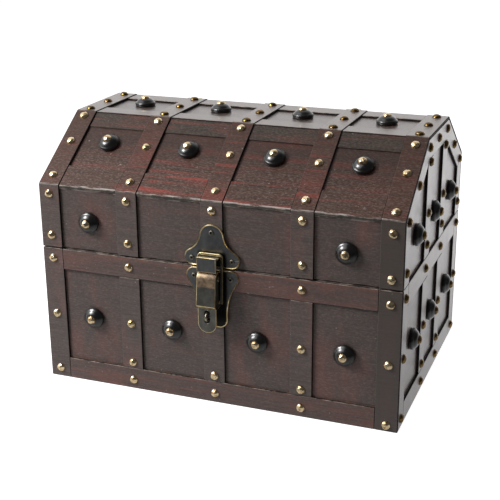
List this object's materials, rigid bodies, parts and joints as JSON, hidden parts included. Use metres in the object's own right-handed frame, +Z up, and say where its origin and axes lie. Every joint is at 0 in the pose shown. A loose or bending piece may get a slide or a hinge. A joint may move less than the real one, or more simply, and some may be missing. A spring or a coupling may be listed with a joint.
{
  "type": "treasure chest box",
  "caption": "Small wooden treasure chest with a hinged five-sided lid, nailed straps, turned knobs and a bronze toggle latch on the front.",
  "frame": {"origin": "middle of the underside, on the surface the chest stands on", "axes": "+X to the chest's right along its length, the latch faces -Y, +Z up"},
  "size_m": [0.2942, 0.2214, 0.2081],
  "materials": {
    "stained_board": "dark stained, satin",
    "stained_strap": "dark stained, satin",
    "brass_nail": "polished",
    "black_knob": "black gloss lacquer",
    "antique_bronze": "antiqued, worn edges"
  },
  "bodies": {
    "base": {"base_front_board": "stained_board", "base_back_board": "stained_board", "base_left_board": "stained_board", "base_right_board": "stained_board", "base_bottom_board": "stained_board", "base_front_straps": "stained_strap", "base_back_straps": "stained_strap", "base_left_straps": "stained_strap", "base_right_straps": "stained_strap", "base_front_rails": "stained_strap", "base_back_rails": "stained_strap", "base_end_rails": "stained_strap", "base_front_nails": "brass_nail", "base_back_nails": "brass_nail", "base_end_nails": "brass_nail", "base_knobs": "black_knob", "base_knob_nails": "brass_nail", "latch_lower_plate": "antique_bronze", "latch_lower_screws": "antique_bronze", "latch_staple": "antique_bronze", "latch_lever_rivet": "antique_bronze", "hinge_left_base_leaf": "antique_bronze", "hinge_right_base_leaf": "antique_bronze", "hinge_pins": "antique_bronze", "hinge_base_screws": "antique_bronze"},
    "lid": {"lid_front_board": "stained_board", "lid_front_slope_board": "stained_board", "lid_top_board": "stained_board", "lid_rear_slope_board": "stained_board", "lid_back_board": "stained_board", "lid_left_board": "stained_board", "lid_right_board": "stained_board", "lid_front_straps": "stained_strap", "lid_front_slope_straps": "stained_strap", "lid_top_straps": "stained_strap", "lid_rear_slope_straps": "stained_strap", "lid_back_straps": "stained_strap", "lid_left_straps": "stained_strap", "lid_right_straps": "stained_strap", "lid_front_slope_rails": "stained_strap", "lid_top_rails": "stained_strap", "lid_rear_slope_rails": "stained_strap", "lid_left_rails": "stained_strap", "lid_right_rails": "stained_strap", "lid_front_nails": "brass_nail", "lid_front_slope_nails": "brass_nail", "lid_top_nails": "brass_nail", "lid_rear_slope_nails": "brass_nail", "lid_back_nails": "brass_nail", "lid_end_nails": "brass_nail", "lid_knobs": "black_knob", "lid_knob_nails": "brass_nail", "latch_upper_plate": "antique_bronze", "latch_upper_screws": "antique_bronze", "hinge_left_lid_leaf": "antique_bronze", "hinge_right_lid_leaf": "antique_bronze", "hinge_lid_screws": "antique_bronze"},
    "latch_lever": {"latch_lever": "antique_bronze"},
    "latch_bail": {"latch_bail": "antique_bronze"}
  },
  "joints": [
    {"name": "lid_turn", "type": "hinge", "parent": "base", "child": "lid", "pos_m": [0, 0.1026, 0.1085], "axis": [-1, 0, 0], "range_deg": [0, 105]},
    {"name": "lever_turn", "type": "hinge", "parent": "base", "child": "latch_lever", "pos_m": [0, -0.1069, 0.103], "axis": [-1, 0, 0], "range_deg": [0, 80]},
    {"name": "bail_turn", "type": "hinge", "parent": "latch_lever", "child": "latch_bail", "pos_m": [0, -0.1055, 0.0843], "axis": [-1, 0, 0], "range_deg": [-66, 0]}
  ],
  "couplings": [
    {"joint": "bail_turn", "follows": "lever_turn", "ratio": -0.82}
  ]
}
